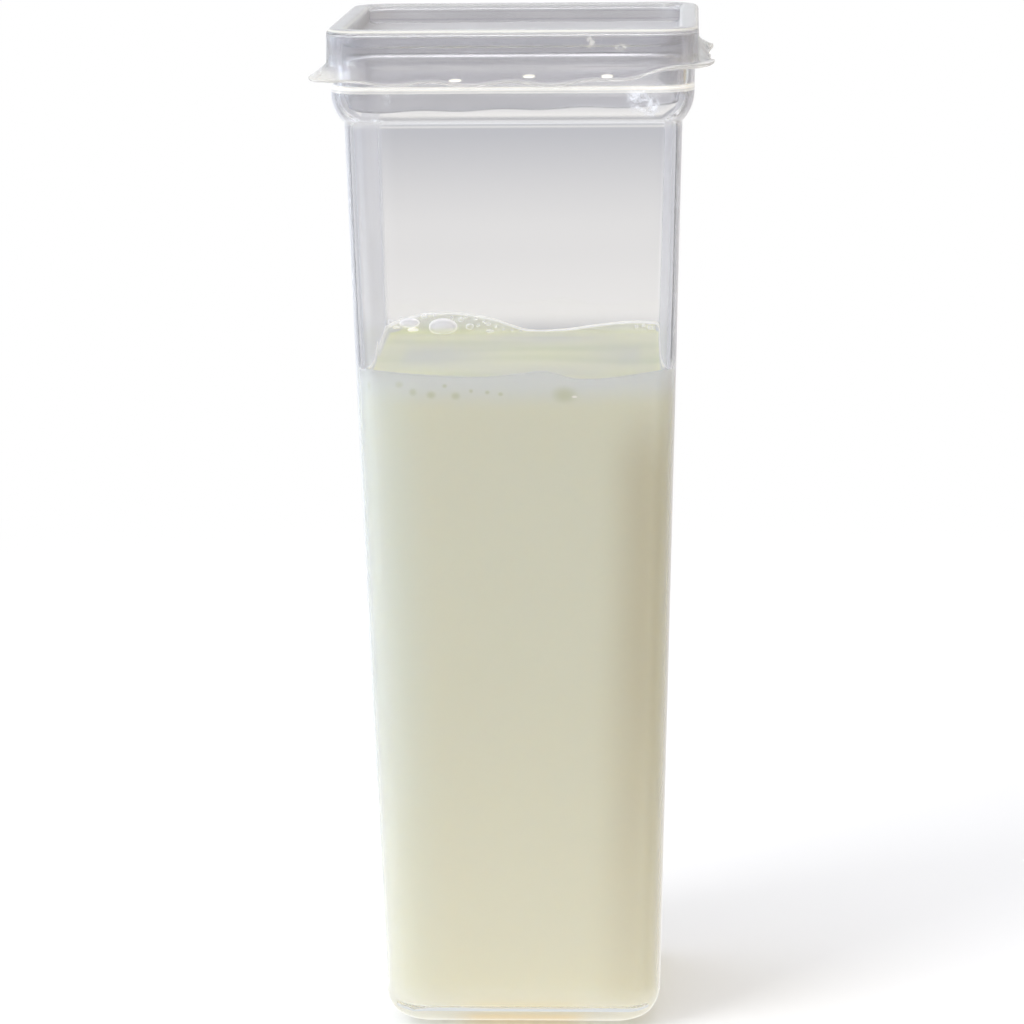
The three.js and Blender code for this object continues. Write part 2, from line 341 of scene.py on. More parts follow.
def softPlastic():
    # soft lid plastic: hazier, with a faint grain and a slow unevenness
    material, wire, place = startMaterial("softPlastic")
    _, deep, height = place.split()
    cloud = noiseAt(wire, place, softLook["cloudScale"], softLook["cloudDetail"], softLook["cloudStretch"])
    cloud = cloud.ramp(*softLook["cloudRange"])
    bump = wire.node("ShaderNodeBump", None, {
        "Height": noiseAt(wire, place, softLook["rippleScale"]),
        "Strength": softLook["ripple"],
        "Distance": softLook["rippleDepth"],
    })
    top = height.ramp(*softLook["top"])
    shader = wire.node("ShaderNodeBsdfPrincipled", None, {
        "Base Color": top.mixed(colour(*softLook["tint"]), colour(*softLook["topTint"])),
        "Roughness": cloud * softLook["haze"] + softLook["smoothness"],
        "IOR": softLook["ior"],
        "Transmission Weight": 1.0,
        "Normal": bump,
    })
    thinner = 1.0 - top * softLook["clearTop"]
    cloudy = (cloud * softLook["cloudSwing"] + softLook["cloudLeast"]) * thinner * softLook["cloudShare"]
    shader = frosted(wire, shader, cloudy, softLook["cloud"])
    smudge = smudged(wire, place, softLook["smudgesAndGlints"], softLook["smudgeFront"]) * softLook["smudgeShare"]
    shader = frosted(wire, shader, smudge, softLook["edge"], softLook["edgeGlow"])
    # a painted pale sheen where the lid is seen edge-on
    rim = grazing(wire, softLook["rimFrom"]) * softLook["rimShare"]
    shader = frosted(wire, shader, rim, softLook["rim"])
    # painted highlights on the rim's edges, the lip and the tabs
    edge = paintedHighlight(wire) * softLook["edgeShare"]
    shader = frosted(wire, shader, edge, softLook["edge"], softLook["edgeGlow"])
    glint = anySpot(wire, place, softLook["glints"], softLook["glintSoft"])
    glint = glint * deep.ramp(*softLook["glintFront"]) * softLook["glintShare"]
    finishMaterial(wire, frosted(wire, shader, glint, softLook["edge"], softLook["glintGlow"]))
    return material


milkLook = {
    "level": 0.1956,
    "deep": (238, 234, 211),
    "upper": (236, 234, 214),
    "fade": (0.03, 0.19),  # depths between which the upper tone turns to the deep one
    "surface": (249, 249, 213),
    "streak": (229, 234, 193),
    "swirlScale": 15.0,
    "swirlStretch": (0.5, 1.7, 1.0),
    "swirl": (0.4, 0.62),
    "swirlDepth": 0.002,
    "swirlBump": 0.05,
    "band": (232, 233, 226),
    "bandDepth": (0.009, 0.001),
    "bandScale": 14.0,
    "bandDetail": 3.0,
    "bandSwing": 0.006,
    "taper": 0.0269,  # how much wider the column is for its height
    "sideDeep": (0.03, -0.036),  # from back to front
    "lowSide": (0.07, 0.19),  # depths over which the tones by the side edges grow faint
    "cool": (234, 238, 230),  # painted light: paler and cooler towards the left edge
    "coolAcross": (-0.018, -0.034),
    "coolShare": 0.6,
    "coolFade": 0.6,
    "corner": (206, 196, 165),  # painted shade: tanner towards the right corner
    "cornerAcross": (0.018, 0.034),
    "cornerEnd": (0.0395, 0.0355),
    "cornerDepth": (0.002, 0.03),
    "cornerShare": 0.6,
    "cornerFade": 0.45,
    "front": (-0.038, -0.041),
    "back": (0.0415, 0.0422),
    "sideWall": (0.0412, 0.0425),
    "outerCorner": (0.08, 0.0815),
    "top": (0.0006, -0.0004),
    "topFront": (-0.0429, -0.0422),
    "filmRise": (-0.0002, -0.0045),
    "film": (251, 251, 232),
    "frontFilm": (230, 232, 227),
    "filmFront": (-0.04, -0.035),
    # rim: the painted highlight on the film's bead and on the large bubble
    "rim": (255, 252, 244),
    "rimFront": (-0.04, -0.03),
    "rimAside": 0.6,
    "rimGlow": (150, 148, 140),  # makes up for the light that the jar's walls keep from the film's edge
    # painted light on the milk's top
    "surfaceGlow": (69, 69, 50),
    "spot": (206, 208, 176),
    "spotShare": 0.6,
    "spotSoft": 0.75,
    "windowSoft": 0.06,
    "window": (253, 253, 254),
    "rough": 0.3,
    "gloss": 0.06,
    "ior": 1.35,
    "scatter": 0.8,
    "scatterRadius": (1.0, 0.95, 0.85),
    "scatterScale": 0.012,
}

bubbles = {
    # windows in the film on the back wall: across, height, half width, half height
    "windows": [(-25.9, 197.4, 4.5, 2.7), (-36.1, 198.7, 3.2, 1.5), (-11.6, 195.4, 1.9, 1.2)],
    # air that shows at the front wall, under the edge of the milk
    "front": [(-33.0, 194.2, 1.0, 0.8), (-29.1, 192.0, 0.9, 0.9), (-23.9, 191.2, 1.1, 0.9),
              (-20.0, 193.8, 0.6, 0.5), (-16.9, 190.9, 1.1, 0.9), (-12.5, 192.3, 0.5, 0.5),
              (-7.9, 191.9, 0.6, 0.5), (-4.1, 191.4, 0.65, 0.5), (-41.2, 193.7, 0.4, 1.1)],
    "large": (14.1, 191.2, 2.8, 1.9),
    "glint": (16.9, 190.6, 0.75, 0.35),
}


def columnTone(wire, place, side, deep, height):
    # the milk behind the walls: tones by depth, spots of air, and painted light and shade by the side edges
    look = milkLook
    depth = look["level"] - height
    tone = depth.ramp(*look["fade"]).mixed(colour(*look["upper"]), colour(*look["deep"]))
    cloud = noiseAt(wire, place, look["bandScale"], look["bandDetail"])
    uneven = (depth + (cloud - 0.5) * look["bandSwing"]).ramp(*look["bandDepth"])
    tone = uneven.mixed(tone, colour(*look["band"]))
    front = deep.ramp(*look["front"])
    spots = anySpot(wire, place, [*bubbles["front"], bubbles["large"]], look["spotSoft"]) * front
    tone = (spots * look["spotShare"]).mixed(tone, colour(*look["spot"]))
    toFront, low = deep.ramp(*look["sideDeep"]), depth.ramp(*look["lowSide"])
    edge = side - height * look["taper"]
    corner = edge.ramp(*look["cornerAcross"]) * edge.ramp(*look["cornerEnd"]) * toFront
    corner = corner * depth.ramp(*look["cornerDepth"]) * (1.0 - low * look["cornerFade"])
    tone = (corner * look["cornerShare"]).mixed(tone, colour(*look["corner"]))
    cool = (side + height * look["taper"]).ramp(*look["coolAcross"]) * toFront
    cool = cool * (1.0 - low * look["coolFade"])
    tone = (cool * look["coolShare"]).mixed(tone, colour(*look["cool"]))
    return (nearSpot(wire, place, *bubbles["glint"]) * front).mixed(tone, colour(*look["rim"]))


def milkWhite():
    # whole milk: greyer at the top of the column, creamier towards the foot, paler where it is thin; with
    # painted light and shade by its side edges, painted light on its top and a painted highlight on the
    # film's bead
    material, wire, place = startMaterial("milkWhite")
    side, deep, height = place.split()
    depth = milkLook["level"] - height
    tone = columnTone(wire, place, side, deep, height)
    swirl = noiseAt(wire, place, milkLook["swirlScale"], 2.0, milkLook["swirlStretch"])
    fluid = swirl.ramp(*milkLook["swirl"]).mixed(colour(*milkLook["surface"]), colour(*milkLook["streak"]))
    onSide = side.absolute().ramp(*milkLook["sideWall"])
    inCorner = (side.absolute() + deep.absolute()).ramp(*milkLook["outerCorner"])
    onTop = depth.ramp(*milkLook["top"]) * deep.ramp(*milkLook["topFront"])
    onTop = onTop * (1.0 - onSide) * (1.0 - inCorner)
    tone = onTop.mixed(tone, fluid)
    filmTone = deep.ramp(*milkLook["filmFront"])
    filmTone = filmTone.mixed(colour(*milkLook["frontFilm"]), colour(*milkLook["film"]))
    tone = depth.ramp(*milkLook["filmRise"]).mixed(tone, filmTone)
    # the bead along the film's top gets a painted highlight
    rim = paintedHighlight(wire) * deep.ramp(*milkLook["rimFront"]) * (1.0 - onSide * milkLook["rimAside"])
    tone = rim.mixed(tone, colour(*milkLook["rim"]))
    # painted light: the top and the bead glow
    glow = onTop.mixed((0, 0, 0, 1), colour(*milkLook["surfaceGlow"]))
    glow = rim.mixed(glow, colour(*milkLook["rimGlow"]))
    bump = wire.node("ShaderNodeBump", None, {
        "Height": swirl,
        "Strength": milkLook["swirlBump"],
        "Distance": milkLook["swirlDepth"],
    })
    shader = wire.node("ShaderNodeBsdfPrincipled", None, {
        "Base Color": tone,
        "Roughness": milkLook["rough"],
        "IOR": milkLook["ior"],
        "Specular IOR Level": milkLook["gloss"],
        "Subsurface Weight": milkLook["scatter"],
        "Subsurface Radius": milkLook["scatterRadius"],
        "Subsurface Scale": milkLook["scatterScale"],
        "Emission Color": glow,
        "Emission Strength": 1.0,
        "Normal": bump,
    })
    window = anySpot(wire, place, bubbles["windows"], milkLook["windowSoft"]) * deep.ramp(*milkLook["back"])
    clear = wire.node("ShaderNodeBsdfTransparent", None, {"Color": colour(*milkLook["window"])})
    finishMaterial(wire, mixShaders(wire, window, shader, clear))
    return material


# rings: a square with round corners, made once, then extruded and set to each section in turn
def ringLayers(bm):
    vectors, numbers = bm.verts.layers.float_vector, bm.verts.layers.float
    return vectors["core"], vectors["out"], numbers["highlight"]


def setRing(bm, verts, half, height, bend=None, highlight=0.0, corner=None):
    # a bend moves the point that it is given, and may give back the point's own painted highlight
    core, out, highlights = ringLayers(bm)
    radius = corner or max(half - cornerCentre(height), body["leastCornerShare"] * half)
    straight = half - radius
    for vert in verts:
        place = vert[core] * straight + vert[out] * radius
        place.z = height
        given = bend(place, half) if bend else None
        vert.co = place * mm
        vert[highlights] = highlight if given is None else given


def startRing(bm, cornerSteps, sideCuts):
    bm.verts.layers.float_vector.new("core")
    bm.verts.layers.float_vector.new("out")
    bm.verts.layers.float.new("highlight")
    core, out, _ = ringLayers(bm)
    corners = bmesh.ops.create_grid(bm, x_segments=1, y_segments=1, size=2.0)["verts"]
    bmesh.ops.bevel(bm, geom=corners, offset=1.0, offset_type="OFFSET", affect="VERTICES",
                    segments=cornerSteps, profile=0.5, material=-1)
    sides = [edge for edge in bm.edges if edge.calc_length() > 1.5]  # the straight ones are 2 long
    bmesh.ops.subdivide_edges(bm, edges=sides, cuts=sideCuts)
    for vert in bm.verts:
        x, y, _ = vert.co
        centre = Vector((min(max(x, -1), 1), min(max(y, -1), 1), 0))
        vert[core] = centre
        vert[out] = (Vector((x, y, 0)) - centre).normalized()
    return list(bm.verts), list(bm.edges)


def nextRing(bm, edges):
    made = bmesh.ops.extrude_edge_only(bm, edges=edges)["geom"]
    verts = [item for item in made if isinstance(item, bmesh.types.BMVert)]
    edges = [item for item in made if isinstance(item, bmesh.types.BMEdge)]
    return verts, [edge for edge in edges if edge.verts[0] in verts and edge.verts[1] in verts]


frontHighlightReach = (0.6, 0.95)  # how far to the front the painted highlight grows to its full strength


def frontHighlight(highlight, least):
    # paints a highlight on the front of a ring in full, and less towards its back
    def bend(place, half):
        return highlight * blend(least, 1.0, smooth(*frontHighlightReach, -place.y / half))
    return bend


def loft(name, sections, cornerSteps=12, sideCuts=27):
    # sections run from the axis under the piece round to the axis again: (half, height, bend, painted
    # highlight, corner)
    bm = bmesh.new()
    verts, edges = startRing(bm, cornerSteps, sideCuts)
    setRing(bm, verts, *sections[0])
    for section in sections[1:]:
        verts, edges = nextRing(bm, edges)
        setRing(bm, verts, *section)
    bmesh.ops.contextual_create(bm, geom=edges)
    bmesh.ops.recalc_face_normals(bm, faces=bm.faces)
    for used in ("core", "out"):
        bm.verts.layers.float_vector.remove(bm.verts.layers.float_vector[used])
    return finishMesh(name, bm)


def finishMesh(name, bm):
    for face in bm.faces:
        face.smooth = True
    mesh = bpy.data.meshes.new(name)
    bm.to_mesh(mesh)
    bm.free()
    piece = bpy.data.objects.new(name, mesh)
    bpy.context.collection.objects.link(piece)
    return piece


def dress(piece, material, nodes=()):
    piece.data.materials.clear()
    piece.data.materials.append(material)
    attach(piece, "root")
    if nodes:
        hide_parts(*nodes)


def arc(centreHalf, centreHeight, radius, start, end, steps):
    # points of an arc in the plane of half-width and height, angles in degrees
    angles = [math.radians(blend(start, end, k / steps)) for k in range(steps + 1)]
    return [(centreHalf + radius * math.cos(a), centreHeight + radius * math.sin(a)) for a in angles]


def steps(low, high, count):
    # heights between two others, both left out
    return [blend(low, high, (k + 1) / (count + 1)) for k in range(count)]


jar = {
    "collarHalf": 51.0,
    "collarArc": 12.0,
    "collarEdge": 0.5,
    "ledge": 279.0,
    "rimHalf": 50.3,
    "rimWall": 2.1,
    "mouth": 293.3,
    "floor": 7.0,
    "floorFillet": 7.0,
    "recessHalf": 24.0,
    "recessDepth": 3.0,
    "support": 0.8,  # how near to a round stretch the next ring stands
    "recessRound": 1.2,
    "crease": [0.05, 0.2, 0.2, 0.12, 0.08],  # painted light in the corner under the collar, ring by ring
    "ledgeHighlight": [(1.5, 0.6), (1.1, 0.45)],  # how far under the ledge, and how much painted highlight
    # painted highlight on the ledge's round edge
    "edgeHighlight": 0.95,
    "footHighlight": 0.7,  # painted highlight at the foot of the upstand
    "highlightBack": 0.05,
    "softCorner": 5.5,  # the inner corners' radius at the collar, which falls to the walls' own
}


def insideProfile(gap, top):
    # the jar's inner face from the middle of its floor up to a height, or a face that a gap keeps off it
    half = lambda height: sideHalf(height) - body["wall"] - gap
    fillet = jar["floorFillet"] - gap
    floor = jar["floor"] + gap
    filletHalf = half(floor + fillet) - fillet
    points = [(filletHalf - 8, floor), (filletHalf - jar["support"], floor)]
    points += arc(filletHalf, floor + fillet, fillet, -90, 0, 10)
    rises = [floor + fillet + jar["support"], *steps(floor + fillet, top, 14), top]
    points += [(half(height), height) for height in rises]
    return [(*point, None, 0.0, body["innerCorner"]) for point in points]


def makeJar():
    heel = body["heelRadius"]
    heelHalf = sideHalf(heel) - heel
    centre = jar["collarHalf"] - jar["collarArc"]
    drop = math.sqrt(jar["collarArc"] ** 2 - (body["shoulderHalf"] - centre) ** 2)
    arcHeight = body["shoulderHeight"] + drop
    innerArc = jar["collarArc"] - body["wall"]
    innerShoulder = body["shoulderHalf"] - body["wall"]
    outerAngle = math.degrees(math.asin(drop / jar["collarArc"]))
    innerAngle = math.degrees(math.acos((innerShoulder - centre) / innerArc))
    rimRound = jar["rimWall"] / 2
    deep, wide, near, turn = jar["recessDepth"], jar["recessHalf"], jar["support"], jar["recessRound"]
    shoulder, back = body["shoulderHeight"], jar["highlightBack"]
    edge, ledge, collar = jar["collarEdge"], jar["ledge"], jar["collarHalf"]
    profile = [(wide - deep - 6, deep), (wide - deep - near, deep)]
    profile += arc(wide - deep, deep - turn, turn, 90, 30, 3) + arc(wide, turn, turn, 210, 270, 3)
    profile += [(wide + near, 0), (heelHalf - near, 0)]
    profile += arc(heelHalf, heel, heel, -90, 0, 16)
    rises = [heel + near, *steps(heel, shoulder, 16), shoulder - 2 * near]
    profile += [(sideHalf(height), height) for height in rises]
    under = arc(centre, arcHeight, jar["collarArc"], -outerAngle, 0, 10)
    crease = [(sideHalf(shoulder) - 0.02, shoulder - near), *under[:4]]
    profile += [(*point, None, highlight) for point, highlight in zip(crease, jar["crease"])] + under[4:]
    profile += [(collar, ledge - 1.8)]
    profile += [(collar, ledge - under, frontHighlight(highlight, back)) for under, highlight in jar["ledgeHighlight"]]
    ledgeArc = arc(collar - edge, ledge - edge, edge, 0, 90, 3)
    profile += [(*point, frontHighlight(jar["edgeHighlight"], back)) for point in ledgeArc]
    rim, mouth = jar["rimHalf"], jar["mouth"] - rimRound
    profile += [(rim + 0.05, ledge + 0.05, frontHighlight(jar["footHighlight"], back)), (rim, ledge + 0.6)]
    profile += [(rim, height) for height in steps(ledge, mouth, 3)]
    profile += arc(rim - rimRound, mouth, rimRound, 0, 180, 8)
    profile += [(rim - jar["rimWall"], height) for height in steps(mouth, arcHeight, 3)]
    inner = arc(centre, arcHeight, innerArc, 0, -innerAngle, 10)
    soften = [blend(jar["softCorner"], body["innerCorner"], k / 10) for k in range(11)]
    profile += [(*point, None, 0.0, corner) for point, corner in zip(inner, soften)]
    profile += reversed(insideProfile(0, shoulder - 1.5))
    piece = loft("jarBody", profile)
    dress(piece, clearPlastic(), ["jar"])


lid = {
    "half": 52.1,
    "top": 295.0,
    "edge": 1.4,
    "ceiling": 293.6,
    "skirt": 1.1,
    "skirtEnd": 284.6,
    "lip": 0.9,
    "lipReach": 3.1,
    "tabReach": 6.4,
    "lipHeight": 280.0,
    "tabHighlight": 0.4,
    "waveHeight": 0.6,
    "waveReach": 0.25,
    "waveLength": 22.5,
    "recessHalf": 46.6,
    "panel": 289.6,
    "panelWall": 1.4,
    "panelFillet": 1.5,
    "plugHalf": 47.8,
    "plugEndHalf": 46.3,
    "plugWall": 1.2,
    "plugEnd": 272.6,
    "plugTilt": 0.014,
    "plugBackRise": 1.5,
    "plugWave": 0.7,
    "plugWaveStart": -3.0,
    "ceilingRound": 0.8,
    "plugRound": 3.6,  # fillet between the panel and the seal
    "lipHighlights": {0.95: 0.15, 0.985: 0.35, 1: 0.4, 0.97: 0.25},  # how much painted highlight the lip's edge has, share by share
    "rimHighlights": [0, 0, 0.3, 1, 1, 0.6, 0.2, 0],  # and the raised rim's, ring by ring
    "innerHighlight": 0.5,  # how much of that its inner edge has
    "highlightBack": 0.3,
    # corner tabs: corner, lift, and how far the bend carries along the front and the side
    "tabs": [((1, -1), 5.3, 18, 40), ((-1, -1), 1.3, 12, 40), ((1, 1), 1.8, 13, 16),
             ((-1, 1), 1.2, 12, 14)],
}


def bendLip(share, highlight):
    # waves the lip, draws its corners out into tabs and lifts them, by how far out on it a ring stands, and
    # gives back its painted highlight, paler on the tabs
    def bend(place, half):
        x, y = place.x, place.y
        tab = smooth(0.72, 0.97, min(abs(x), abs(y)) / half)
        onSide = abs(x) > abs(y)
        wave = math.cos((y if onSide else x) / lid["waveLength"] * 2 * math.pi) * (1 - tab)
        reach = blend(lid["lipReach"], lid["tabReach"], tab) + lid["waveReach"] * wave
        rise = lid["waveHeight"] * wave
        for (cornerX, cornerY), lift, spreadX, spreadY in lid["tabs"]:
            away = ((x - cornerX * half) / spreadX) ** 2 + ((y - cornerY * half) / spreadY) ** 2
            rise += lift * math.exp(-away)
        outX = min(max(x / (half * 0.9), -1), 1)
        outY = min(max(y / (half * 0.9), -1), 1)
        place.x += (math.copysign(1, x) if onSide else outX * tab) * reach * share
        place.y += (outY * tab if onSide else math.copysign(1, y)) * reach * share
        place.z += rise * share
        return blend(highlight, lid["tabHighlight"] * smooth(0.1, 0.6, share), tab)
    return bend


def bendPlug(place, half):
    # the seal's lower edge isn't level: it tilts, rises to the back and waves
    back = (place.y / half + 1) / 2
    wave = math.cos((place.x - lid["plugWaveStart"]) / lid["waveLength"] * 2 * math.pi)
    place.z += lid["plugTilt"] * place.x + lid["plugBackRise"] * back
    place.z += lid["plugWave"] * blend(0.3, 1, back) * wave


def makeLid():
    skirtIn = lid["half"] - lid["skirt"]
    under = lid["panel"] - lid["panelWall"]
    plugIn = lid["plugHalf"] - lid["plugWall"]
    plugEndIn = lid["plugEndHalf"] - lid["plugWall"]
    edge, end, ceiling = lid["edge"], lid["plugEnd"], lid["ceiling"]
    skirtEnd, lipLow, lip = lid["skirtEnd"], lid["lipHeight"], lid["lip"]
    profile = [(half, under) for half in (12, 24, 36, plugIn - 6, plugIn - 4.2)]
    turn = lid["plugRound"]
    profile += arc(plugIn - turn, under - turn, turn, 90, 0, 8)
    profile += [(plugIn, 283), (blend(plugIn, plugEndIn, 0.3), 279)]
    profile += [(plugEndIn, end + 1.2, bendPlug), (plugEndIn, end + 0.5, bendPlug)]
    profile += [(plugEndIn + 0.15, end + 0.12, bendPlug), (plugEndIn + 0.4, end, bendPlug)]
    profile += [(lid["plugEndHalf"] - 0.4, end, bendPlug), (lid["plugEndHalf"] - 0.1, end + 0.12, bendPlug)]
    profile += [(lid["plugEndHalf"], end + 0.5, bendPlug), (lid["plugEndHalf"], end + 1.2, bendPlug)]
    profile += [(lid["plugHalf"], height) for height in (jar["ledge"], 283, 288, ceiling - 1.6)]
    turn = lid["ceilingRound"]
    profile += arc(lid["plugHalf"] + turn, ceiling - turn, turn, 180, 90, 4)
    profile += arc(skirtIn - turn, ceiling - turn, turn, 90, 0, 4)
    profile += [(skirtIn, 290), (skirtIn + 0.1, 287), (skirtIn + 0.2, skirtEnd)]
    # the lip's rings: half width, height, and how far out on the lip
    lipShape = [
        (skirtIn + 0.3, blend(skirtEnd, lipLow, 0.18), 0.1),
        (skirtIn + 0.4, blend(skirtEnd, lipLow, 0.35), 0.25),
        (skirtIn + 0.7, blend(skirtEnd, lipLow, 0.58), 0.45),
        (lid["half"], blend(skirtEnd, lipLow, 0.8), 0.65),
        (lid["half"], blend(skirtEnd, lipLow, 0.93), 0.82),
        (lid["half"], lipLow, 0.95),
        (lid["half"] + 0.18, lipLow + 0.06, 0.985),
        (lid["half"] + 0.25, lipLow + 0.22, 1),
        (lid["half"] + 0.25, lipLow + lip - 0.22, 1),
        (lid["half"] + 0.22, lipLow + lip - 0.06, 0.97),
        (lid["half"] + 0.1, lipLow + lip, 0.93),
        (lid["half"] + 0.25, blend(skirtEnd, lipLow, 0.66), 0.76),
        (lid["half"] + 0.4, blend(skirtEnd, lipLow, 0.5), 0.6),
        (lid["half"] + 0.4, blend(skirtEnd, lipLow, 0.3), 0.4),
        (lid["half"] + 0.4, blend(skirtEnd, lipLow, 0.1), 0.2),
        (lid["half"] + 0.3, skirtEnd + 0.2, 0.08),
    ]
    for half, height, share in lipShape:
        profile += [(half, height, bendLip(share, lid["lipHighlights"].get(share, 0.0)))]
    profile += [(lid["half"] + 0.15, skirtEnd + 0.9), (lid["half"] + 0.05, 288), (lid["half"], 291)]
    highlights, back = lid["rimHighlights"], lid["highlightBack"]
    outer = arc(lid["half"] - edge, lid["top"] - edge, edge, 0, 90, 7)
    profile += [(*point, frontHighlight(highlight, back)) for point, highlight in zip(outer, highlights)]
    profile += [(blend(lid["recessHalf"] + edge, lid["half"] - edge, 0.5), lid["top"])]
    inner = arc(lid["recessHalf"] + edge, lid["top"] - edge, edge, 90, 180, 7)
    profile += [(*point, frontHighlight(highlight * lid["innerHighlight"], back)) for point, highlight in zip(inner, reversed(highlights))]
    fillet = lid["panelFillet"]
    profile += arc(lid["recessHalf"] - fillet, lid["panel"] + fillet, fillet, 0, -90, 5)
    profile += [(half, lid["panel"]) for half in (lid["recessHalf"] - 2.4, 38, 28, 16, 8)]
    piece = loft("lidShell", profile, cornerSteps=12, sideCuts=47)
    dress(piece, softPlastic(), ["lid"])


milk = {
    "reach": 0.12,  # how far it goes into the jar's wall, so that no air shows between them
    "level": 195.6,
    "bead": 0.6,  # height of the bead along the film's top, which carries a painted highlight
    "filmFoot": 7.4,
    "leastFilm": 0.1,
    "swell": 0.25,
    "filmHeights": {
        "back": [2.9, 5.8, 6.1, 4.3, 0.9, 1.0, 2.4, 3.4, 2.8],  # left to right
        "front": [3.0, 2.1, 1.4, 0.9, 0.8, 1.5, 2.3, 0.2, 0.3, 1.4, 2.6],
        "left": [3.0, 1.2, 0.6, 1.4, 2.8],  # front to back
        "right": [2.6, 1.8, 1.2, 1.4, 2.6],
    },
}


def splineAt(heights, share):
    # smooth curve through evenly spaced heights
    place = min(max(share, 0), 1) * (len(heights) - 1)
    k = min(int(place), len(heights) - 2)
    t = place - k
    last = len(heights) - 1
    before, here, there, after = (heights[min(max(k + shift, 0), last)] for shift in (-1, 0, 1, 2))
    slopeHere, slopeThere = (there - before) / 2, (after - here) / 2
    return ((2 * t ** 3 - 3 * t ** 2 + 1) * here + (t ** 3 - 2 * t ** 2 + t) * slopeHere
            + (3 * t ** 2 - 2 * t ** 3) * there + (t ** 3 - t ** 2) * slopeThere)


def filmHeight(place, half):
    across, deep = (place.x / half + 1) / 2, (place.y / half + 1) / 2
    if abs(place.x) > abs(place.y):
        return splineAt(milk["filmHeights"]["right" if place.x > 0 else "left"], deep)
    return splineAt(milk["filmHeights"]["back" if place.y > 0 else "front"], across)


def makeMilk():
    level = milk["level"]
    wallHalf = lambda height: sideHalf(height) - body["wall"] + milk["reach"]
    levelHalf = wallHalf(level)

    def filmed(share, drop):
        # lifts a ring to its share of the film's height, against the tapered wall
        def bend(place, half):
            full = max(filmHeight(place, half), milk["leastFilm"])
            rise = max(full * share, full - drop)
            grow = 1 + (wallHalf(level + rise) - levelHalf) / half
            place.x *= grow
            place.y *= grow
            place.z += rise
            return smooth(milk["bead"] + 0.5, milk["bead"] - 0.2, full - rise) * smooth(0.1, 0.6, share)
        return bend

    def swelled(place, half):
        place.z += milk["swell"] * math.sin(place.x / 11 + 1) * math.cos(place.y / 14)

    profile = insideProfile(-milk["reach"], level - 8)
    # the film's rings: how far in, the least share of its height, and how far under its top
    rings = [(0, 0.3, 9), (0, 0.6, 9), (0, 0.85, 1.1), (0, 0.9, 0.7), (0, 0.95, 0.35),
             (0.12, 0.99, 0.1), (0.35, 1, 0), (0.7, 0.98, 0.06), (0.95, 0.9, 0.2), (1.0, 0.8, 0.42),
             (0.88, 0.62, 0.7), (0.75, 0.5, 1.05), (0.85, 0.42, 1.9), (1.0, 0.3, 9), (1.4, 0.19, 9),
             (2.0, 0.12, 9), (3.0, 0.07, 9), (4.6, 0.03, 9), (milk["filmFoot"], 0.01, 9)]
    for inset, share, drop in rings:
        profile += [(levelHalf - inset, level, filmed(share, drop), 0.0, body["innerCorner"])]
    profile += [(levelHalf - inset, level, swelled) for inset in range(10, 40, 4)]
    piece = loft("milkFill", profile, cornerSteps=12, sideCuts=47)
    dress(piece, milkWhite(), ["milk"])


froth = {
    # on the back wall: across, height, half width, half height
    "back": [(-42.3, 198.9, 1.0, 0.8), (-41.4, 196.9, 1.3, 0.8), (-31.6, 200.6, 1.0, 0.6),
             (-20.4, 199.6, 0.85, 0.7), (-18.8, 200.4, 0.5, 0.4), (-17.7, 197.4, 1.3, 1.0),
             (-15.8, 199.8, 0.6, 0.5), (-18.1, 195.2, 0.6, 0.6), (-15.1, 197.8, 0.5, 0.45),
             (-13.3, 198.9, 0.5, 0.35), (-12.1, 198.2, 0.9, 0.5), (-9.8, 197.4, 0.4, 0.4),
             (-7.4, 196.5, 0.45, 0.4), (-4.8, 196.3, 0.4, 0.35), (-2.1, 195.9, 0.5, 0.45),
             (-28.4, 200.9, 0.5, 0.4), (-23.2, 200.2, 0.5, 0.45), (-38.8, 200.2, 0.5, 0.35),
             (33.2, 197.3, 0.6, 0.45), (35.2, 197.6, 0.5, 0.4), (37.1, 197.0, 0.75, 0.6)],
    "backInset": 1.1,  # how far the film's face lies in from the back wall
    "depth": 0.7,  # how far a bubble stands out, against its half width
    "bulge": 1.2,  # and a large one
    "smallRim": (0.12, 0.36),
    "smallMiddle": 0.18,  # how milky a bubble's middle is
    "largeRim": (0.4, 0.8),
    "largeMiddle": 0.34,
    "rimShare": 0.6,
    "skinScale": 300.0,
    "smoothness": 0.12,
    "unevenness": 0.1,
    "wetCoat": 0.6,
    "skin": (253, 253, 254),
    "middle": (240, 240, 243),
    # middleGlow and glow: painted light in the bubbles' skins
    "middleGlow": (140, 140, 146),
    "glow": 1.1,
    "rim": (255, 253, 247),
}


def backFilm(height):
    return sideHalf(height) - body["wall"] - froth["backInset"]


def addBall(bm, x, y, z, sizes):
    turn = Matrix.Translation(Vector((x, y, z)) * mm) @ Matrix.Diagonal((*(size * mm for size in sizes), 1))
    bmesh.ops.create_uvsphere(bm, u_segments=28, v_segments=14, radius=1, matrix=turn)


def bubbleSkin(name, rim, middle):
    # a thin wet film: nearly clear in the middle, milky where it curves away, and glowing with painted light
    material, wire, place = startMaterial(name)
    uneven = noiseAt(wire, place, froth["skinScale"])
    clear = wire.node("ShaderNodeBsdfTransparent", None, {"Color": colour(*froth["skin"])})
    wet = wire.node("ShaderNodeBsdfPrincipled", None, {
        "Base Color": uneven.mixed(colour(*froth["middle"]), colour(*froth["rim"])),
        "Roughness": froth["smoothness"] + uneven * froth["unevenness"],
        "Coat Weight": froth["wetCoat"],
        "Emission Color": uneven.mixed(colour(*froth["middleGlow"]), colour(*milkLook["rimGlow"])),
        "Emission Strength": froth["glow"],
    })
    finishMaterial(wire, mixShaders(wire, grazing(wire, *rim) * froth["rimShare"] + middle, clear, wet))
    return material


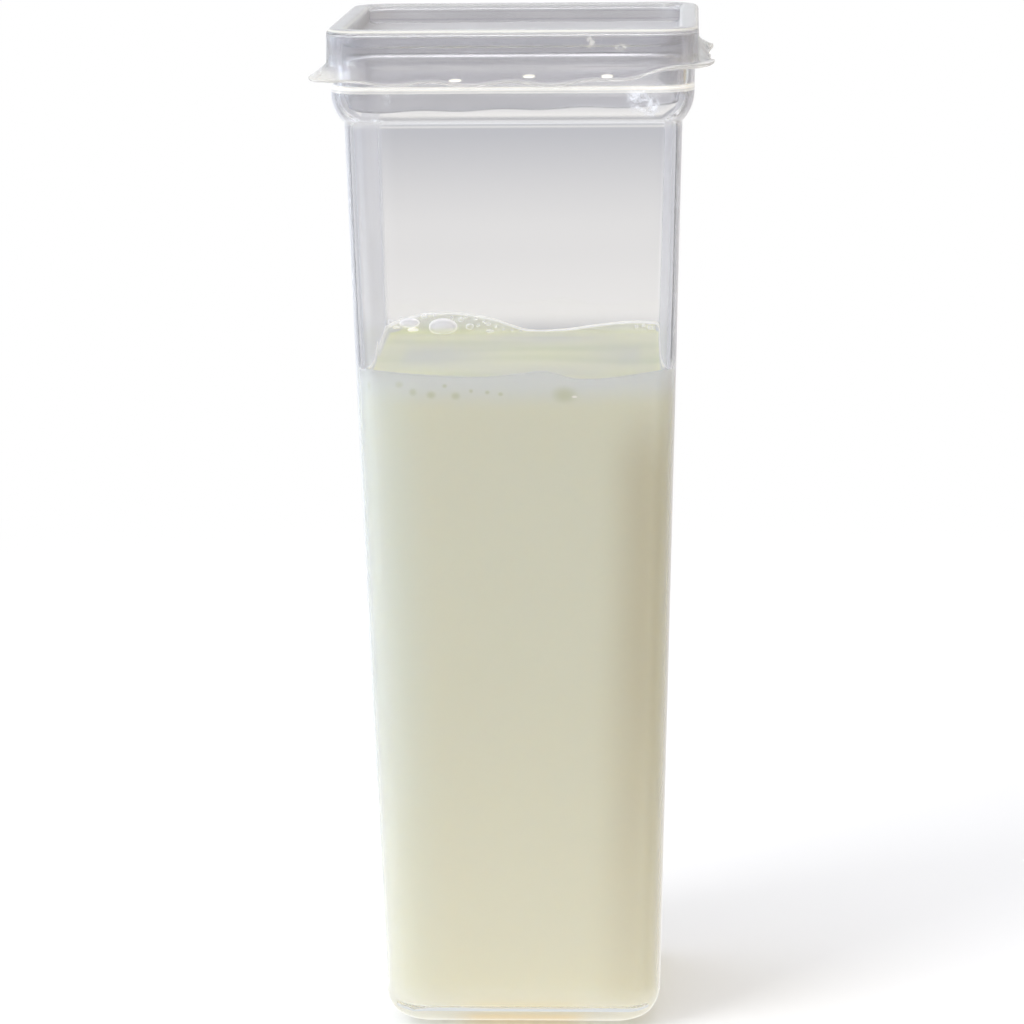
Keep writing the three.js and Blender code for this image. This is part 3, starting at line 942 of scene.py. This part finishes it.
def makeBubbles(name, places, depth, skin):
    bm = bmesh.new()
    for x, z, halfWidth, halfHeight in places:
        addBall(bm, x, backFilm(z), z, (halfWidth, halfWidth * depth, halfHeight))
    dress(finishMesh(name, bm), skin)


def makeFroth():
    skin = bubbleSkin("bubbleSkin", froth["smallRim"], froth["smallMiddle"])
    makeBubbles("froth", froth["back"], froth["depth"], skin)


def makeDomes():
    # the large bubbles bulge over the milk
    skin = bubbleSkin("domeSkin", froth["largeRim"], froth["largeMiddle"])
    makeBubbles("domes", bubbles["windows"], froth["bulge"], skin)


curds = {
    "places": [(-34.4, 196.6, 2.3, 1.3), (-40.2, 197.2, 1.5, 0.7)],
    "lumps": 5,
    "shift": (-0.6, 0.6),
    "size": (0.35, 0.6),
    "rise": (-0.3, 0.4),
    "halfDepth": 0.7,
    "outward": 0.2,
    "white": (255, 253, 247),
    "cream": (240, 240, 228),
    "grainScale": 420.0,
    "grainDetail": 3.0,
    "bump": 0.3,
    "bumpDepth": 0.0004,
    "rough": 0.3,
    "glow": 1.3,
}


def makeCurds():
    # two soft white lumps under the bubbles, glowing with painted light
    draw = random.Random(7)
    bm = bmesh.new()
    for x, z, halfWidth, halfHeight in curds["places"]:
        for _ in range(curds["lumps"]):
            shift = draw.uniform(*curds["shift"])
            size = draw.uniform(*curds["size"])
            rise = draw.uniform(*curds["rise"])
            addBall(bm, x + shift * halfWidth, backFilm(z) - curds["outward"], z + rise * halfHeight,
                    (halfWidth * size, curds["halfDepth"], halfHeight * size))
    piece = finishMesh("curds", bm)
    material, wire, place = startMaterial("curdWhite")
    grain = noiseAt(wire, place, curds["grainScale"], curds["grainDetail"])
    bump = wire.node("ShaderNodeBump", None, {
        "Height": grain,
        "Strength": curds["bump"],
        "Distance": curds["bumpDepth"],
    })
    shader = wire.node("ShaderNodeBsdfPrincipled", None, {
        "Base Color": grain.mixed(colour(*curds["white"]), colour(*curds["cream"])),
        "Roughness": curds["rough"],
        "Normal": bump,
        "Emission Color": colour(*milkLook["rimGlow"]),
        "Emission Strength": curds["glow"],
    })
    finishMaterial(wire, shader)
    dress(piece, material)


makeJar()
makeLid()
makeMilk()
makeFroth()
makeDomes()
makeCurds()
print("jar, lid, milk, bubbles and lumps made")

# stage: a white floor, with the grey sweep of a studio for what shows through the plastic
stage = {
    "floor": (236, 236, 236),
    "near": (249, 247, 241),  # what the plastic shows low down
    "far": (190, 191, 195),  # and high up
    "foot": (222, 222, 222),  # and round the foot, as a painted shadow
    "under": (168, 168, 172),  # and in the collar's round underside, as painted shade
    "beside": (208, 209, 213),  # and in its side walls, as painted shade
    "beyond": (236, 237, 240),  # and in its outer edges
    "white": (255, 255, 255),
    "farReach": (1.2, 2.9),  # distances from the foot, in metres
    "underReach": (1.36, 1.22),
    "footReach": (0.95, 0.75),
    "besideReach": (0.4, 0.75),
    "beyondReach": (4.5, 7.0),
    "plainReach": (0.05, 0.75),  # where the floor that the camera sees turns to plain white
    "brightReach": (0.4, 0.05),  # near the foot the floor throws more light up at it
    "brighter": 0.9,
    "half": 30.0,
    "gap": 0.0001,  # so that the foot and the floor aren't one surface
}


def makeStage():
    bm = bmesh.new()
    bmesh.ops.create_grid(bm, x_segments=1, y_segments=1, size=stage["half"])
    floor = finishMesh("floor", bm)
    floor.location.z = -stage["gap"]
    material, wire, place = startMaterial("floorPaper")
    away = wire.node("ShaderNodeVectorMath", {"operation": "LENGTH"}, {"Vector": place}, out="Value")
    sweep = away.ramp(*stage["farReach"]).mixed(colour(*stage["near"]), colour(*stage["far"]))
    sweep = away.ramp(*stage["underReach"]).mixed(sweep, colour(*stage["under"]))
    sweep = away.ramp(*stage["footReach"]).mixed(sweep, colour(*stage["foot"]))
    side = place.split()[0].absolute()
    sweep = side.ramp(*stage["besideReach"]).mixed(sweep, colour(*stage["beside"]))
    sweep = away.ramp(*stage["beyondReach"]).mixed(sweep, colour(*stage["beyond"]))
    paper = wire.node("ShaderNodeBsdfDiffuse", None, {"Color": colour(*stage["floor"])})
    white = wire.node("ShaderNodeEmission", None, {"Color": colour(*stage["white"]), "Strength": 1.0})
    plain = mixShaders(wire, away.ramp(*stage["plainReach"]), paper, white)
    bright = away.ramp(*stage["brightReach"]) * stage["brighter"] + 1.0
    glow = wire.node("ShaderNodeEmission", None, {"Color": sweep, "Strength": bright})
    finishMaterial(wire, mixShaders(wire, seenByCamera(wire), glow, plain))
    floor.data.materials.append(material)


def seenByCamera(wire):
    # 1 where the camera sees the stage itself, 0 where it shows through the jar, in a shine or as light
    return wire.node("ShaderNodeLightPath", out="Is Camera Ray")


studio = {
    "left": (222, 234, 250),
    "right": (128, 114, 82),
    "across": (-0.9, 0.9),
    "above": (178, 177, 180),
    "aboveFrom": (0.25, 0.85),
    "behind": (158, 160, 160),
    "behindDeep": (0.55, 0.85),
    "behindUp": (0.75, 0.45),
    "strength": 2.15,
}


def makeWorld():
    world = bpy.data.worlds.new("studio")
    bpy.context.scene.world = world
    world.use_nodes = True
    world.node_tree.nodes.clear()
    wire = Wire(world.node_tree)
    side, deep, height = wire.node("ShaderNodeTexCoord", out="Generated").split()
    tone = side.ramp(*studio["across"]).mixed(colour(*studio["left"]), colour(*studio["right"]))
    tone = height.ramp(*studio["aboveFrom"]).mixed(tone, colour(*studio["above"]))
    behind = deep.ramp(*studio["behindDeep"]) * height.ramp(*studio["behindUp"])
    tone = behind.mixed(tone, colour(*studio["behind"]))
    light = wire.node("ShaderNodeBackground", None, {"Color": tone, "Strength": studio["strength"]})
    white = wire.node("ShaderNodeBackground", None, {"Color": colour(*stage["white"]), "Strength": 1.0})
    seen = mixShaders(wire, seenByCamera(wire), light, white)
    wire.node("ShaderNodeOutputWorld", None, {"Surface": seen})


# name, place, size, watts and tone of each lamp
lamps = [
    ("keySoftbox", (-1.5, -1.3, 1.7), (1.1, 1.1), 26, (1.0, 0.99, 0.97)),
    ("fillSoftbox", (1.6, -0.9, 1.2), (0.9, 1.2), 5, (1.0, 0.95, 0.88)),
    ("leftPanel", (-0.42, -0.26, 0.2), (0.3, 0.6), 0.3, (0.8, 0.92, 1.0)),
    ("topSoftbox", (0.1, 0.3, 2.2), (1.6, 1.6), 7, (1.0, 1.0, 1.0)),
]
lampAim = Vector((0, 0, 0.14))


def makeLamps():
    for name, place, size, power, tone in lamps:
        data = bpy.data.lights.new(name, "AREA")
        data.shape = "RECTANGLE"
        data.size, data.size_y = size
        data.energy = power
        data.color = tone
        held = bpy.data.objects.new(name, data)
        held.location = place
        held.rotation_euler = (lampAim - Vector(place)).to_track_quat("-Z", "Y").to_euler()
        bpy.context.collection.objects.link(held)


makeStage()
makeWorld()
makeLamps()
bpy.context.scene.view_settings.view_transform = "Standard"
cycles = bpy.context.scene.cycles
cycles.max_bounces = 16  # clear walls in front of clear walls need many
cycles.transmission_bounces = 16
cycles.glossy_bounces = 10
cycles.diffuse_bounces = 4
cycles.use_light_tree = False  # saves a quarter of the render time
print("stage and lights set")
